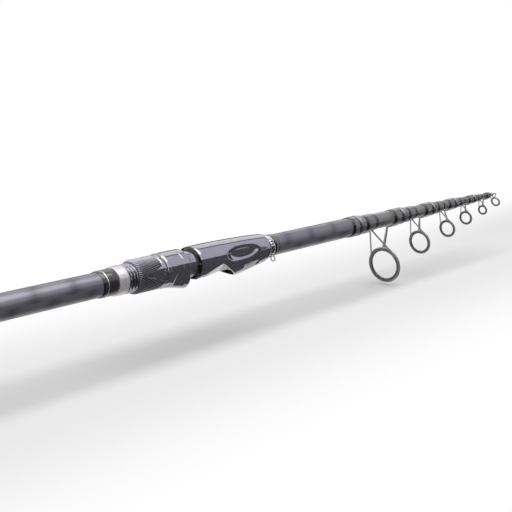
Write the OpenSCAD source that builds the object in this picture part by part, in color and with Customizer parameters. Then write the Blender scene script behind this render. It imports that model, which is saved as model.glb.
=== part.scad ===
// Closed telescopic fishing rod: butt section with reel seat, five guide sections and a tip section.
// Millimetres. +X runs along the rod from the butt to the tip, +Z is up, guides and reel hang below.

/* [Blank] */
// diameter of the solid tip at its front end
tip_od = 2.2; // [1.8:0.1:2.8]
// growth of every tube radius per millimetre towards the butt
taper = 0.0008; // [0.0006:0.0001:0.001]
// wall of the butt section
wall_1 = 0.8; // [0.6:0.05:1.2]
// wall of section 2
wall_2 = 0.56; // [0.45:0.01:0.8]
// wall of section 3
wall_3 = 0.48; // [0.4:0.01:0.7]
// wall of section 4
wall_4 = 0.4; // [0.35:0.01:0.6]
// wall of section 5
wall_5 = 0.36; // [0.3:0.01:0.5]
// wall of section 6
wall_6 = 0.86; // [0.6:0.01:1]
// radial play left where a pulled-out section seats in the mouth before it
seat_clearance = 0.03; // [0.02:0.01:0.06]
// gap between closed sections, end to end
closed_gap = 0.3; // [0.2:0.05:0.6]
// place of the butt section's mouth
butt_length = 458.1; // [440:0.1:500]

/* [Overlaps] */
// length of section 2 left in the butt section when pulled out
overlap_2 = 60; // [45:1:75]
// length of section 3 left in section 2
overlap_3 = 52; // [40:1:65]
// length of section 4 left in section 3
overlap_4 = 45; // [35:1:55]
// length of section 5 left in section 4
overlap_5 = 38; // [30:1:48]
// length of section 6 left in section 5
overlap_6 = 30; // [24:1:40]
// length of the tip left in section 6
overlap_7 = 24; // [18:1:32]

/* [Windings] */
// thickness of the guide windings
wrap_t = 0.62; // [0.5:0.02:0.8]
// winding at the mouth of the butt section
mouth_wrap = 11; // [8:0.1:14]
// rear winding of section 2
rear_wrap_2 = 18.2; // [14:0.1:22]
// rear winding of section 3
rear_wrap_3 = 14.4; // [11:0.1:18]
// rear winding of section 4
rear_wrap_4 = 13.2; // [10:0.1:16]
// rear winding of section 5
rear_wrap_5 = 11.1; // [9:0.1:14]
// rear winding of section 6
rear_wrap_6 = 10; // [8:0.1:13]
// bare tube between the windings of section 2
bare_2 = 23.5; // [19:0.1:28]
// bare tube between the windings of section 3
bare_3 = 13.1; // [10:0.1:16]
// bare tube between the windings of section 4
bare_4 = 7.2; // [6:0.1:9]
// bare tube between the windings of section 5
bare_5 = 6; // [5:0.1:8]
// bare tube between the windings of section 6
bare_6 = 7.5; // [6:0.1:9.5]
// front winding of section 2
front_wrap_2 = 14.4; // [12:0.1:18]
// front winding of section 3
front_wrap_3 = 13.6; // [11:0.1:17]
// front winding of section 4
front_wrap_4 = 12.3; // [10:0.1:15]
// front winding of section 5
front_wrap_5 = 10.7; // [8.5:0.1:13]
// front winding of section 6
front_wrap_6 = 8.7; // [7:0.1:11]

/* [Mouth rings] */
// thickness of a mouth ring's shoulder over the tube
shoulder_t = 0.68; // [0.5:0.02:0.9]
// share of a mouth ring taken by its narrow nose
nose_share = 0.45; // [0.35:0.01:0.55]
// mouth ring of the butt section
ring_len_1 = 8; // [6.5:0.1:11]
// mouth ring of section 2
ring_len_2 = 8.9; // [7:0.1:11]
// mouth ring of section 3
ring_len_3 = 8.5; // [7:0.1:11]
// mouth ring of section 4
ring_len_4 = 8.3; // [6.5:0.1:10.5]
// mouth ring of section 5
ring_len_5 = 7.5; // [6:0.1:9.5]

/* [Guides] */
// outer diameter of guide 1
guide_od_1 = 30.5; // [26:0.1:35]
// outer diameter of guide 2
guide_od_2 = 21.2; // [18:0.1:25]
// outer diameter of guide 3
guide_od_3 = 16.3; // [14:0.1:19]
// outer diameter of guide 4
guide_od_4 = 13.3; // [11.5:0.1:15]
// outer diameter of guide 5
guide_od_5 = 9.7; // [9:0.1:11]
// drop of ring 1 below the rod's axis
drop_1 = 38.5; // [34:0.1:43]
// drop of ring 2
drop_2 = 27.5; // [24:0.1:31]
// drop of ring 3
drop_3 = 22; // [19.5:0.1:25]
// drop of ring 4
drop_4 = 16.5; // [15:0.1:19]
// drop of ring 5
drop_5 = 13; // [12:0.1:15]
// place of ring 1 ahead of its section's rear winding edge
ahead_1 = 37.5; // [33:0.1:42]
// place of ring 2
ahead_2 = 27.7; // [24:0.1:31]
// place of ring 3
ahead_3 = 25.7; // [22:0.1:29]
// place of ring 4
ahead_4 = 18.3; // [16:0.1:21]
// place of ring 5
ahead_5 = 15.5; // [13:0.1:18]
// lean of the guide rings, lower edge towards the tip
lean = 7; // [3:0.5:12]
// thickness of a guide's foot
foot_t = 0.8; // [0.6:0.05:1]
// width of a guide's foot
foot_w = 2.4; // [1.8:0.1:3]

/* [Tip top] */
// outer diameter of the tip-top ring
tip_ring_od = 10; // [9.5:0.1:12]
// drop of the tip-top ring below the axis
tip_drop = 8; // [7:0.1:9.5]
// length of the tip-top tube
tip_tube = 7; // [5:0.1:10]
// place of the tip-top ring ahead of its tube's rear end
tip_ahead = 15; // [12.5:0.1:18]
// lean of the tip-top ring
tip_lean = 20; // [12:0.5:28]
// wall of the tip-top tube
tip_tube_wall = 0.6; // [0.5:0.05:0.8]
// closed end of the tip-top tube ahead of the blank
tip_end = 0.6; // [0.4:0.1:1]

/* [Reel seat] */
// place of the seat's rear end
seat_x = 202.7; // [195:0.1:210]
// crest radius of the thread over the blank
thread_rise = 1.6; // [1.4:0.05:2]
// depth of the thread
thread_depth = 0.6; // [0.4:0.05:0.8]
// pitch of the thread
thread_pitch = 2.5; // [2:0.1:3]
// thickness of the arbor rings
arbor_t = 0.4; // [0.3:0.05:0.5]
// glue film between an arbor and the seat's bore
arbor_glue = 0.05; // [0.03:0.01:0.1]
// place of the lock nut ahead of the seat's rear end
nut_ahead = 7.2; // [6.8:0.1:9]
// length of the lock nut
nut_len = 23; // [18:0.1:26]
// height of the lock nut over the thread's crest
nut_rise = 1.6; // [1.3:0.05:2]
// running clearance of nut and hood on the thread
thread_clearance = 0.15; // [0.1:0.01:0.25]
// length of the moving hood
hood_len = 20.4; // [18:0.1:23]
// wall of the moving hood over the thread's crest
hood_rise = 2.1; // [1.8:0.05:2.5]
// depth of the hoods' lobes below the axis
lobe_depth = 14.4; // [14:0.1:15.5]
// wall of the hoods' lobes
lobe_wall = 0.9; // [0.8:0.05:1.3]
// free room between the moving hood and the lip ring
hood_room = 8.3; // [7:0.1:10]
// thickness of the lip ring
lip_t = 1.5; // [1.2:0.1:2]
// length of the front shell
shell_len = 73.4; // [66:0.1:80]
// height of the shell over the thread's crest at its rear
shell_rise = 2.3; // [2:0.05:2.8]
// radius of the shell over the blank at its front end
shell_front = 2.3; // [1.9:0.05:2.7]
// place of the foot platform below the axis
platform = 8.6; // [8.45:0.05:9]
// place of the fixed hood's lower lip ahead of the shell's rear
mouth_ahead = 41; // [38:0.1:44]
// slope of the fixed hood's mouth from upright
mouth_slope = 58; // [45:1:62]
// how far the roof of the fixed hood's pocket lies above the platform
roof_step = 0.1; // [0.05:0.05:0.2]
// least wall over the seat's bore under the flank cuts
flank_wall = 0.55; // [0.4:0.05:1]
// width of the rim that the flank cuts leave round the fixed hood's mouth
mouth_rim = 0.5; // [0.3:0.1:1]
// slope of the moving hood's mouth from upright
hood_slope = 15; // [5:1:30]
// reach of the moving hood's lower lip past its sleeve
hood_lip = 0.6; // [0.3:0.1:1.2]

/* [Trim] */
// length of the winding behind the seat
rear_wrap = 13.5; // [10:0.1:17]
// length of the pale rear ring
rear_ring_len = 6.2; // [5:0.1:8]
// place of the trim line from the winding's rear edge
trim_place = 3.2; // [2:0.1:5]
// width of the trim line
trim_w = 0.9; // [0.6:0.1:1.4]
// length of the chrome front ring
chrome_len = 5.9; // [4.5:0.1:8]
// facets round the chrome ring
chrome_facets = 30; // [18:2:48]
// length of the short winding ahead of the chrome ring
keeper_wrap = 5; // [4:0.1:7]
// outer diameter of the hook keeper's loop
keeper_od = 4.4; // [3.8:0.1:5.5]
// wire of the hook keeper
keeper_wire = 0.8; // [0.6:0.05:1]

/* [Butt cap] */
// outer diameter of the butt cap
cap_od = 17; // [16.4:0.1:19]
// length of the cap's head
cap_head = 12; // [8:0.1:16]
// length of the cap's screw
cap_stem = 10; // [8:0.1:14]
// diameter of the cap's screw
cap_thread = 10; // [8:0.1:11]
// clearance of the screw in its insert
cap_clearance = 0.12; // [0.08:0.01:0.2]
// thickness of the cushion
cushion_t = 3; // [2:0.1:5]

/* [Hidden] */
$fn = 64;
over = 0.5;

// lists by section number, with an unused first place
wall = [0, wall_1, wall_2, wall_3, wall_4, wall_5, wall_6];
overlap = [0, 0, overlap_2, overlap_3, overlap_4, overlap_5, overlap_6, overlap_7];
rear_len = [0, 0, rear_wrap_2, rear_wrap_3, rear_wrap_4, rear_wrap_5, rear_wrap_6];
bare = [0, 0, bare_2, bare_3, bare_4, bare_5, bare_6];
front_len = [0, mouth_wrap, front_wrap_2, front_wrap_3, front_wrap_4, front_wrap_5, front_wrap_6];
ring_len = [0, ring_len_1, ring_len_2, ring_len_3, ring_len_4, ring_len_5, 0];
guide_od = [0, 0, guide_od_1, guide_od_2, guide_od_3, guide_od_4, guide_od_5];
drop = [0, 0, drop_1, drop_2, drop_3, drop_4, drop_5];
ahead = [0, 0, ahead_1, ahead_2, ahead_3, ahead_4, ahead_5];

// closed places along the rod
function shown(k) = rear_len[k] + bare[k] + front_len[k] + ring_len[k];
function mouth_x(k) = k == 1 ? butt_length : mouth_x(k - 1) + closed_gap + shown(k);
function start_x(k) = mouth_x(k - 1) + closed_gap;
base_x = cap_head + cap_stem + cushion_t + closed_gap;
function travel(k) = mouth_x(k - 1) - base_x - overlap[k];
tip_x = start_x(7) + tip_tube;

// radii as lines that fall by the taper along the rod
function play(k) = seat_clearance + taper * travel(k);
function root_r(k) = k == 7 ? tip_od / 2 + taper * tip_x : root_r(k + 1) + play(k + 1) + wall[k];
function tube_r(k, x) = root_r(k) - taper * x;
function bore_r(k, x) = root_r(k + 1) + play(k + 1) - taper * x;
function tube_end(k) = mouth_x(k) - nose_share * ring_len[k];

// guide sizes that follow the ring
function wire_d(k) = 0.52 + 0.0285 * guide_od[k];
function foot_width(k) = foot_w * (0.5 + 0.5 * guide_od[k] / guide_od_1);
function ring_t(k) = 1.1 + 0.078 * guide_od[k];
function frame_t(k) = 0.46 * ring_t(k);
function insert_od(k) = guide_od[k] - 1.5 * frame_t(k);
function ring_r(k) = guide_od[k] / 2 - frame_t(k) / 2;
function ring_at(k) = [start_x(k) + ahead[k], 0, -drop[k]];
function foot_x(k) = start_x(k) + 0.88 * rear_len[k];
function brace_x(k) = start_x(k) + rear_len[k] + bare[k] - 1.2;

// reel seat sizes that follow the blank
shell_x = seat_x + nut_ahead + nut_len + closed_gap + hood_len + hood_room + lip_t;
nut_x = seat_x + nut_ahead;
hood_x = nut_x + nut_len + closed_gap;
hood_end = hood_x + hood_len;
seat_front = shell_x + shell_len;
seat_bore = tube_r(1, seat_x) + arbor_t;
crest_r = tube_r(1, seat_x) + thread_rise;
barrel_r = crest_r - thread_depth / 2;
shell_r = crest_r + shell_rise;
shell_end_r = tube_r(1, seat_front) + shell_front;
nut_r = crest_r + nut_rise;
hood_r = crest_r + hood_rise;
lobe_r = lobe_depth - 4.6;
mouth_low = shell_x + mouth_ahead;

// finishes for the preview
carbon = [0.27, 0.27, 0.30];
lacquer = [0.12, 0.12, 0.13];
satin = [0.62, 0.62, 0.64];
pale = [0.85, 0.81, 0.83];
gloss = [0.16, 0.16, 0.18];
steel = [0.42, 0.42, 0.44];
ceramic = [0.22, 0.22, 0.24];

// turns a shape made along +Z to run along +X from the place x
module along(x) {
    translate([x, 0, 0])
        rotate([0, 90, 0])
            children();
}

// a cone along the rod between two places
module taper_rod(x0, x1, r0, r1) {
    along(x0)
        cylinder(h = x1 - x0, r1 = r0, r2 = r1);
}

// a ring turned about the rod from points of radius and place
module turned(points) {
    along(0)
        rotate_extrude()
            polygon(points);
}

// the outside of a section's tube between two places, as a solid
module tube_solid(k, x0, x1) {
    taper_rod(x0, x1, tube_r(k, x0), tube_r(k, x1));
}

// the bore of a section's tube between two places, as a solid
module bore_solid(k, x0, x1) {
    taper_rod(x0, x1, bore_r(k, x0), bore_r(k, x1));
}

// a round bar from point p to point q
module bar(p, q, r) {
    d = q - p;
    translate(p)
        rotate([0, acos(d[2] / norm(d)), atan2(d[1], d[0])])
            cylinder(h = norm(d), r = r);
}

// a section's tube
module tube(k, x0) {
    difference() {
        tube_solid(k, x0, tube_end(k));
        bore_solid(k, x0 - over, tube_end(k) + over);
    }
}

// a winding whose lacquer is domed, thin at both ends
module wrap(k, x0, x1, t) {
    r0 = tube_r(k, x0);
    r1 = tube_r(k, x1);
    dome = min(2.4, 0.25 * (x1 - x0));
    difference() {
        turned([[0, x0], [r0 + 0.3 * t, x0], [r0 + 0.75 * t, x0 + 0.3 * dome], [r0 + t, x0 + dome],
            [r1 + t, x1 - dome], [r1 + 0.75 * t, x1 - 0.3 * dome], [r1 + 0.3 * t, x1], [0, x1]]);
        tube_solid(k, x0 - over, x1 + over);
    }
}

// a winding with the ridge that lies over a guide's foot
module foot_wrap(k, x0, x1) {
    difference() {
        union() {
            wrap(k, x0, x1, wrap_t);
            difference() {
                translate([0, 0, 0.4 - tube_r(k, x0)])
                    taper_rod(x0 + 0.4, x1 - 0.4, ridge_r(k), ridge_r(k));
                tube_solid(k, x0 - over, x1 + over);
            }
        }
        guide_feet(k);
        guide_legs(k);
    }
}
function ridge_r(k) = foot_width(k) / 2 + foot_t;

// the two foot plates of a guide
module guide_feet(k) {
    rear = start_x(k) + 0.12 * rear_len[k];
    front = brace_x(k) + 1.2 + 0.7 * front_len[k];
    foot_plate(k, rear, foot_x(k) + wire_d(k));
    foot_plate(k, brace_x(k) - 0.8, front);
}

module foot_plate(k, x0, x1) {
    r = tube_r(k, x0);
    translate([x0, -foot_width(k) / 2, -r - foot_t])
        cube([x1 - x0, foot_width(k), foot_t + 0.4]);
}

// the two legs and the brace of a guide
module guide_legs(k) {
    top = [foot_x(k), 0, -tube_r(k, foot_x(k)) - 0.5 * foot_t];
    up = [-sin(lean), 0, cos(lean)];
    reach = drop[k] - tube_r(k, foot_x(k));
    turn = 0.96 * acos(ring_r(k) / reach);
    for (side = [-1, 1]) {
        root = top + [0, side * (foot_width(k) / 2 - 0.5 * wire_d(k) + 0.25), 0];
        end = ring_at(k) + ring_r(k) * (cos(turn) * up + [0, side * sin(turn), 0]);
        bar(root, end, wire_d(k) / 2);
    }
    head = [brace_x(k), 0, -tube_r(k, brace_x(k)) - 0.3 * foot_t];
    strip(head, ring_at(k) + ring_r(k) * up, 0.62 * foot_width(k), 1.1 * foot_width(k), 0.8 * wire_d(k));
}

// a flat bar in the rod's upright plane, w0 wide at p and w1 wide at q
module strip(p, q, w0, w1, t) {
    d = q - p;
    translate(p)
        rotate([0, atan2(d[0], d[2]), 0])
            rotate([90, 0, 90])
                linear_extrude(height = t, center = true)
                    polygon([[-w0 / 2, 0], [w0 / 2, 0], [w1 / 2, norm(d)], [-w1 / 2, norm(d)]]);
}

// the ring of a frame: a band with bevelled outer edges whose inner side seats the insert
module frame_ring(r_out, seat_r, w) {
    bevel = 0.45 * (r_out - seat_r);
    rotate_extrude()
        polygon([[seat_r, -w / 2], [r_out - bevel, -w / 2], [r_out, bevel - w / 2],
            [r_out, w / 2 - bevel], [r_out - bevel, w / 2], [seat_r, w / 2]]);
}

// the ceramic insert: a ring with a half-round inner side
module insert_ring(r_out, r_in) {
    w = r_out - r_in;
    rotate_extrude()
        union() {
            translate([r_in + w / 2, 0])
                circle(d = w);
            translate([r_in + w / 2, -w / 2])
                square([w / 2, w]);
        }
}

// sets a ring made about +Z upright in the rod, with its lean
module set_ring(at, tilt) {
    translate(at)
        rotate([0, 90 - tilt, 0])
            children();
}

module guide_frame(k) {
    seat_r = insert_od(k) / 2;
    difference() {
        union() {
            set_ring(ring_at(k), lean)
                frame_ring(guide_od[k] / 2, seat_r, 1.1 * frame_t(k));
            guide_feet(k);
            guide_legs(k);
        }
        set_ring(ring_at(k), lean)
            cylinder(h = 2 * ring_t(k), r = seat_r, center = true);
        tube_solid(k, start_x(k) - over, mouth_x(k));
    }
}

module guide_insert(k) {
    set_ring(ring_at(k), lean)
        insert_ring(insert_od(k) / 2, guide_od[k] / 2 - ring_t(k));
}

module windings(k) {
    x0 = start_x(k);
    x1 = x0 + rear_len[k] + bare[k];
    foot_wrap(k, x0, x0 + rear_len[k]);
    foot_wrap(k, x1, x1 + front_len[k]);
}

// a light ring on a mouth: shoulder on the tube, nose ahead of the tube's end
module mouth_ring(k) {
    x0 = mouth_x(k) - ring_len[k];
    x1 = mouth_x(k);
    xe = tube_end(k);
    r0 = tube_r(k, x0);
    r1 = tube_r(k, x1);
    difference() {
        turned([[0, x0], [r0 + 0.6 * shoulder_t, x0], [r0 + shoulder_t, x0 + 0.8],
            [r0 + shoulder_t, xe - 1.2], [r1 + 0.12, xe + 0.4], [r1, x1 - 0.3],
            [r1 - 0.15, x1], [0, x1]]);
        tube_solid(k, x0 - over, xe);
        bore_solid(k, x0 - over, x1 + over);
    }
}

module butt_blank()
    color(carbon)
        tube(1, cap_head);

module butt_insert()
    color(lacquer)
        difference() {
            bore_solid(1, cap_head, cap_head + cap_stem + 1);
            taper_rod(cap_head - over, base_x, cap_thread / 2 + cap_clearance,
                cap_thread / 2 + cap_clearance);
        }

module butt_cap()
    color(lacquer)
        union() {
            turned([[0, 0], [cap_od / 2 - 1.4, 0], [cap_od / 2 - 0.4, 0.4], [cap_od / 2, 1.4],
                [cap_od / 2, cap_head - closed_gap - 0.8], [cap_od / 2 - 0.8, cap_head - closed_gap],
                [0, cap_head - closed_gap]]);
            taper_rod(1, cap_head + cap_stem, cap_thread / 2, cap_thread / 2);
        }

module cap_cushion()
    color(lacquer)
        taper_rod(cap_head + cap_stem + 0.02, cap_head + cap_stem + cushion_t, cap_thread / 2 - 0.4,
            cap_thread / 2 - 0.4);

module rear_winding() {
    x1 = seat_x - rear_ring_len;
    x0 = x1 - rear_wrap;
    color(lacquer)
        difference() {
            wrap(1, x0, x1, 1.1 * wrap_t);
            taper_rod(x0 + trim_place, x0 + trim_place + trim_w, 20, 20);
        }
}

module trim_line() {
    x0 = seat_x - rear_ring_len - rear_wrap + trim_place;
    r = tube_r(1, x0) + 1.1 * wrap_t + 0.08;
    color(satin)
        difference() {
            taper_rod(x0, x0 + trim_w, r, r);
            tube_solid(1, x0 - over, x0 + trim_w + over);
        }
}

module rear_ring() {
    x0 = seat_x - rear_ring_len;
    r = tube_r(1, seat_x);
    color(pale)
        difference() {
            turned([[0, x0], [r + 1.1, x0], [r + 1.45, x0 + 0.8], [r + 1.6, seat_x - 0.5],
                [r + 1.45, seat_x], [0, seat_x]]);
            tube_solid(1, x0 - over, seat_x + over);
        }
}

module seat_arbors()
    color(satin)
        for (share = [0.04, 0.36, 0.66, 0.9]) {
            x0 = seat_x + share * (seat_front - seat_x);
            difference() {
                taper_rod(x0, x0 + 9, seat_bore - arbor_glue, seat_bore - arbor_glue);
                tube_solid(1, x0 - over, x0 + 9 + over);
            }
        }

// thread as ring ridges, then the plain barrel up to the shell
module barrel() {
    root = crest_r - thread_depth;
    count = floor((hood_end - 4 - seat_x) / thread_pitch);
    ridges = [for (i = [0:count - 1]) each [
        [root, seat_x + 0.3 + i * thread_pitch],
        [root, seat_x + 0.3 + (i + 0.3) * thread_pitch],
        [crest_r, seat_x + 0.3 + (i + 0.5) * thread_pitch],
        [crest_r, seat_x + 0.3 + (i + 0.75) * thread_pitch]]];
    last = seat_x + 0.3 + count * thread_pitch;
    turned(concat([[0, seat_x], [root, seat_x]], ridges,
        [[root, last], [barrel_r, last + 0.4], [barrel_r, shell_x + 1], [0, shell_x + 1]]));
}

// the shell about the rod, before the platform is cut
module shell_round() {
    x0 = shell_x;
    x1 = seat_front;
    difference() {
        turned([[0, x0], [shell_r, x0], [shell_r, x0 + 22], [shell_r - 0.35, x0 + 36],
            [shell_end_r + 0.9, x0 + 54], [shell_end_r, x1 - 3], [shell_end_r - 0.5, x1 - 1],
            [shell_end_r - 1.3, x1], [0, x1]]);
        translate([x0 - over, -30, -platform - 30])
            cube([mouth_ahead - 12 + over, 60, 30]);
        translate([x0 + mouth_ahead - 13, -30, roof_step - platform - 30])
            cube([23, 60, 30]);
        flank_cut(-1);
        flank_cut(1);
    }
}

// everything ahead of the slanted plane of the fixed hood's mouth
module ahead_of_mouth() {
    translate([mouth_low, 0, -lobe_depth])
        rotate([0, -mouth_slope, 0])
            translate([0, -30, -30])
                cube([60, 60, 80]);
}

// flat cut on a lower flank that deepens towards the fixed hood's mouth
module flank_cut(side) {
    x0 = shell_x + 11;
    rise = shell_r - seat_bore - flank_wall;
    difference() {
        rotate([45 * side, 0, 0])
            translate([x0, 0, -shell_r])
                rotate([0, -atan(rise / (mouth_low - 4 - x0)), 0])
                    translate([0, -30, -30])
                        cube([60, 60, 30]);
        translate([-mouth_rim, 0, 0])
            ahead_of_mouth();
    }
}

// a hood's lobe: a round bar that dips below the rod towards the mouth
module lobe(x_deep, z_deep, x_high, z_high, r) {
    bar([x_deep, 0, z_deep], [x_high, 0, z_high], r);
}

module fixed_lobe(r, x_front) {
    low = lobe_r - lobe_depth;
    slope = (-0.3 - low) / (seat_front - 3 - mouth_low);
    back = 24;
    intersection() {
        lobe(mouth_low - back, low - slope * back, x_front, low + slope * (x_front - mouth_low), r);
        ahead_of_mouth();
    }
}

// spindle that hollows out a thumb scoop
module scoop(side) {
    depth_r = 6.2;
    bow = 70;
    translate([shell_x + 42, side * (shell_r + 2.9), 3.4])
        rotate([0, 90, 0])
            rotate_extrude()
                intersection() {
                    translate([depth_r - bow, 0])
                        circle(r = bow);
                    translate([0, -40])
                        square([depth_r + 1, 80]);
                }
}

module reel_seat()
    color(gloss)
        difference() {
            union() {
                barrel();
                shell_round();
                fixed_lobe(lobe_r, seat_front - 3);
            }
            difference() {
                translate([-1, 0, 0])
                    fixed_lobe(lobe_r - lobe_wall, mouth_low + 13);
                translate([mouth_low - 40, -30, roof_step - platform])
                    cube([80, 60, 40]);
            }
            taper_rod(seat_x - over, seat_front + over, seat_bore, seat_bore);
            scoop(-1);
            scoop(1);
        }

module lip_ring() {
    x0 = shell_x - lip_t;
    r = shell_r + 0.4;
    color(lacquer)
        difference() {
            turned([[0, x0], [r - 0.5, x0], [r, x0 + 0.4 * lip_t], [r, x0 + 0.7 * lip_t],
                [r - 0.4, shell_x], [0, shell_x]]);
            taper_rod(x0 - over, shell_x + over, barrel_r, barrel_r);
            translate([x0 - over, -30, -platform - 1 - 30])
                cube([lip_t + 2 * over, 60, 30]);
        }
}

module front_ring() {
    x0 = seat_front;
    x1 = seat_front + chrome_len;
    r = tube_r(1, x0) + 1.25;
    color(satin)
        difference() {
            intersection() {
                along(x0)
                    linear_extrude(height = chrome_len)
                        polygon([for (i = [0:2 * chrome_facets - 1])
                            (r - (i % 2) * 0.22) * [cos(180 * i / chrome_facets), sin(180 * i / chrome_facets)]]);
                turned([[0, x0], [r - 0.1, x0], [r + 0.1, x0 + 0.9], [r + 0.1, x1 - 2.4], [r - 0.7, x1], [0, x1]]);
            }
            tube_solid(1, x0 - over, x1 + over);
        }
}

module keeper_wire_path() {
    x0 = seat_front + chrome_len;
    r = tube_r(1, x0);
    xk = x0 + keeper_wrap + 1;
    zk = -r - 0.4 * keeper_wire - keeper_od / 2;
    taper_low = -r - 0.35 * keeper_wire;
    translate([0, 0, taper_low])
        taper_rod(x0 + 0.8, xk, keeper_wire / 2, keeper_wire / 2);
    translate([xk, 0, zk])
        rotate([0, 90, 0])
            rotate_extrude()
                translate([keeper_od / 2 - keeper_wire / 2, 0])
                    circle(d = keeper_wire);
}

module hook_keeper()
    color(steel)
        difference() {
            keeper_wire_path();
            tube_solid(1, seat_front, seat_front + 30);
        }

module front_winding() {
    x0 = seat_front + chrome_len;
    x1 = x0 + keeper_wrap;
    r = tube_r(1, x0);
    color(lacquer)
        difference() {
            union() {
                wrap(1, x0, x1, 0.7 * wrap_t);
                difference() {
                    translate([0, 0, 0.5 - r])
                        taper_rod(x0 + 0.3, x1 - 0.2, 1.5, 1.5);
                    tube_solid(1, x0 - over, x1 + over);
                }
            }
            keeper_wire_path();
        }
}

module mouth_winding() {
    x1 = butt_length - ring_len_1;
    color(lacquer)
        wrap(1, x1 - mouth_wrap, x1, wrap_t);
}

// knurled sleeve with a bevelled rear edge, a smooth collar and two arrow facets
module lock_nut() {
    x0 = nut_x;
    x1 = nut_x + nut_len;
    teeth = 60;
    color(steel)
        difference() {
            union() {
                intersection() {
                    along(x0)
                        linear_extrude(height = nut_len)
                            polygon([for (i = [0:2 * teeth - 1])
                                (nut_r - (i % 2) * 0.3) * [cos(180 * i / teeth), sin(180 * i / teeth)]]);
                    turned([[0, x0], [nut_r - 1.1, x0], [nut_r + 0.1, x0 + 2], [nut_r + 0.1, x1], [0, x1]]);
                }
                turned([[0, x1 - 3.4], [nut_r + 0.05, x1 - 3.4], [nut_r + 0.05, x1 - 0.5],
                    [nut_r - 0.4, x1], [0, x1]]);
                intersection() {
                    taper_rod(x0 + 2.2, x1 - 1, nut_r + 0.05, nut_r + 0.05);
                    translate([x1 - 3, 0, 1])
                        rotate([90, 0, 0])
                            linear_extrude(height = 40, center = true)
                                polygon([[0.6, 3.8], [-15.6, 0], [0.6, -3.8]]);
                }
            }
            taper_rod(x0 - over, x1 + over, crest_r + thread_clearance, crest_r + thread_clearance);
        }
}

module moving_hood() {
    x0 = hood_x;
    x1 = hood_end;
    low = lobe_r - lobe_depth;
    color(gloss)
        difference() {
            union() {
                turned([[0, x0], [hood_r - 0.5, x0], [hood_r, x0 + 0.7], [hood_r, x1 - 0.8],
                    [hood_r - 0.4, x1], [0, x1]]);
                intersection() {
                    lobe(x1 + 4, low - 0.8, x0 + 2.4, low + 3.6, lobe_r);
                    translate([x1 + hood_lip, 0, -lobe_depth])
                        rotate([0, -hood_slope, 0])
                            translate([-60, -30, -30])
                                cube([60, 60, 80]);
                }
            }
            intersection() {
                lobe(x1 + 5, low - 1, x0, low + 4, lobe_r - lobe_wall);
                translate([x0 + 9.5, -30, -40])
                    cube([30, 60, 40]);
            }
            taper_rod(x0 - over, x1 + over, crest_r + thread_clearance, crest_r + thread_clearance);
        }
}

module blank_2() color(carbon) tube(2, base_x);
module blank_3() color(carbon) tube(3, base_x);
module blank_4() color(carbon) tube(4, base_x);
module blank_5() color(carbon) tube(5, base_x);
module blank_6() color(carbon) tube(6, base_x);
module windings_2() color(lacquer) windings(2);
module windings_3() color(lacquer) windings(3);
module windings_4() color(lacquer) windings(4);
module windings_5() color(lacquer) windings(5);
module windings_6() color(lacquer) windings(6);
module guide_frame_2() color(steel) guide_frame(2);
module guide_frame_3() color(steel) guide_frame(3);
module guide_frame_4() color(steel) guide_frame(4);
module guide_frame_5() color(steel) guide_frame(5);
module guide_frame_6() color(steel) guide_frame(6);
module guide_insert_2() color(ceramic) guide_insert(2);
module guide_insert_3() color(ceramic) guide_insert(3);
module guide_insert_4() color(ceramic) guide_insert(4);
module guide_insert_5() color(ceramic) guide_insert(5);
module guide_insert_6() color(ceramic) guide_insert(6);
module mouth_ring_1() color(satin) mouth_ring(1);
module mouth_ring_2() color(satin) mouth_ring(2);
module mouth_ring_3() color(satin) mouth_ring(3);
module mouth_ring_4() color(satin) mouth_ring(4);
module mouth_ring_5() color(satin) mouth_ring(5);

module tip_blank()
    color(carbon)
        tube_solid(7, base_x, tip_x - tip_end);

tip_frame_t = 1.1;
tip_insert_od = tip_ring_od - 1.6 * tip_frame_t;
tip_ring_r = (tip_ring_od - tip_frame_t) / 2;
tip_at = [start_x(7) + tip_ahead, 0, -tip_drop];

// tip tube, two side arms and a bent brace that arches over to the ring's top
module tip_frame() {
    x0 = start_x(7);
    r = tube_r(7, x0) + tip_tube_wall;
    up = [-sin(tip_lean), 0, cos(tip_lean)];
    bend = [tip_at[0] - 0.2, 0, 0.1];
    color(steel)
        difference() {
            union() {
                taper_rod(x0, tip_x, r, r);
                set_ring(tip_at, tip_lean)
                    frame_ring(tip_ring_od / 2, tip_insert_od / 2, 1.1 * tip_frame_t);
                for (side = [-1, 1])
                    bar([x0 + 2.5, side * r * 0.75, -0.6],
                        tip_at + tip_ring_r * (0.5 * up + [0, side * 0.866, 0]), 0.45);
                bar([tip_x - 1.2, 0, 0.1], bend + [0.4, 0, 0], 0.5);
                bar(bend + [0.1, 0, 0.3], tip_at + tip_ring_r * up, 0.58);
            }
            set_ring(tip_at, tip_lean)
                cylinder(h = 4, r = tip_insert_od / 2, center = true);
            tube_solid(7, x0 - over, tip_x - tip_end);
        }
}

module tip_insert()
    color(ceramic)
        set_ring(tip_at, tip_lean)
            insert_ring(tip_insert_od / 2, tip_insert_od / 2 - 1);

butt_blank();
butt_insert();
rear_winding();
trim_line();
rear_ring();
seat_arbors();
reel_seat();
lip_ring();
front_ring();
front_winding();
hook_keeper();
mouth_winding();
mouth_ring_1();
butt_cap();
cap_cushion();
lock_nut();
moving_hood();
blank_2();
windings_2();
guide_frame_2();
guide_insert_2();
mouth_ring_2();
blank_3();
windings_3();
guide_frame_3();
guide_insert_3();
mouth_ring_3();
blank_4();
windings_4();
guide_frame_4();
guide_insert_4();
mouth_ring_4();
blank_5();
windings_5();
guide_frame_5();
guide_insert_5();
mouth_ring_5();
blank_6();
windings_6();
guide_frame_6();
guide_insert_6();
tip_blank();
tip_frame();
tip_insert();
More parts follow.
